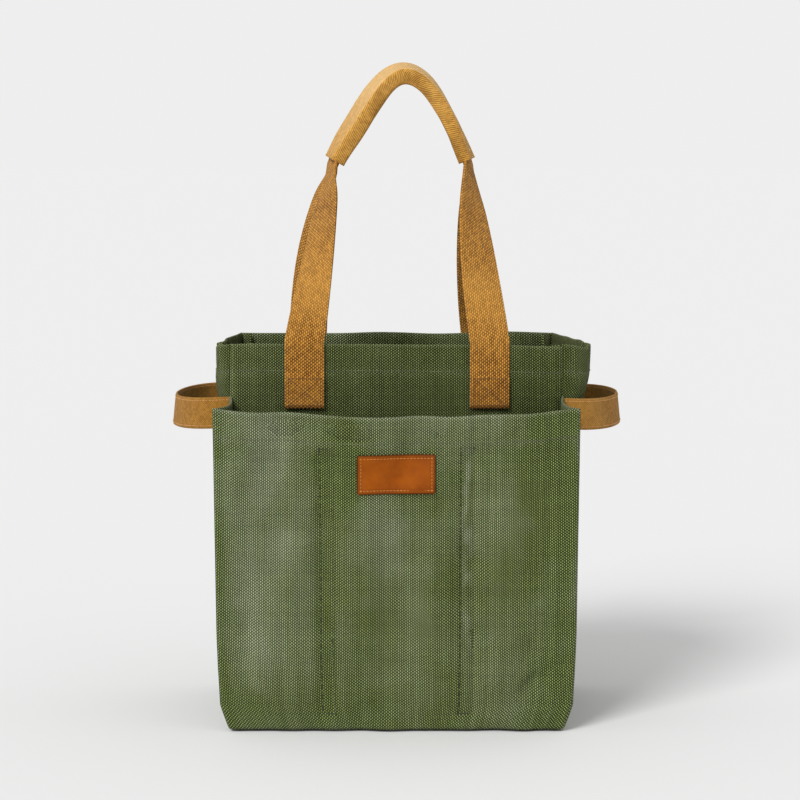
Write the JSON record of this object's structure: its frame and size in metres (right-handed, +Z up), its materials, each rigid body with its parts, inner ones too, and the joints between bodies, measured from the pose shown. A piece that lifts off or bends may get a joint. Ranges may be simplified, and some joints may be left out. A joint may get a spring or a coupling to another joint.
{
  "type": "garden tool bag",
  "caption": "Open canvas tote for garden hand tools, with a divided bellows pocket on its front, webbing handles joined by a wrap, and a fabric loop on each side.",
  "frame": {"origin": "middle of the base, on the ground, under the middle of the whole bag's width and depth", "axes": "+Z up, -Y towards the side with the front pocket, +X to the right of someone who faces that pocket"},
  "size_m": [0.436, 0.2266, 0.627],
  "materials": {
    "canvas": "washed heavy cotton canvas, olive green, matt, paler on the seams and creases",
    "webbing": "woven cotton webbing, tan, matt",
    "tan_canvas": "cotton twill, tan, matt, edge stitched",
    "leather": "smooth cognac leather, slight sheen, paler cut edges",
    "thread": "cotton sewing thread, matched to the canvas",
    "tan_thread": "cotton sewing thread, tan"
  },
  "bodies": {
    "bag": {"bottom_panel": "canvas", "body_front_panel": "canvas", "body_back_panel": "canvas", "left_gusset": "canvas", "right_gusset": "canvas", "pocket_front_panel": "canvas", "pocket_left_gusset": "canvas", "pocket_right_gusset": "canvas", "pocket_bottom": "canvas", "left_divider": "canvas", "right_divider": "canvas", "leather_patch": "leather", "front_strap_left_end": "webbing", "front_strap_right_end": "webbing", "back_strap_left_end": "webbing", "back_strap_right_end": "webbing", "front_strap_left_leg": "webbing", "front_strap_right_leg": "webbing", "back_strap_left_leg": "webbing", "back_strap_right_leg": "webbing", "left_loop_front_end": "tan_canvas", "left_loop_back_end": "tan_canvas", "right_loop_front_end": "tan_canvas", "right_loop_back_end": "tan_canvas"},
    "handles": {"front_strap_top": "webbing", "back_strap_top": "webbing", "handle_wrap": "tan_canvas"},
    "left_side_loop": {"left_loop": "tan_canvas"},
    "right_side_loop": {"right_loop": "tan_canvas"}
  },
  "joints": [
    {"name": "handles_tip", "type": "hinge", "parent": "bag", "child": "handles", "pos_m": [0, 0.02975, 0.447], "axis": [1, 0, 0], "range_deg": [-90, 90], "deforming": ["front_strap_left_leg", "front_strap_right_leg", "back_strap_left_leg", "back_strap_right_leg"]},
    {"name": "left_loop_swing", "type": "hinge", "parent": "bag", "child": "left_side_loop", "pos_m": [-0.159, 0.02975, 0.295], "axis": [0, 1, 0], "range_deg": [-30, 30], "stiffness_Nm_per_rad": 0.06},
    {"name": "right_loop_swing", "type": "hinge", "parent": "bag", "child": "right_side_loop", "pos_m": [0.159, 0.02975, 0.295], "axis": [0, -1, 0], "range_deg": [-30, 30], "stiffness_Nm_per_rad": 0.06}
  ]
}
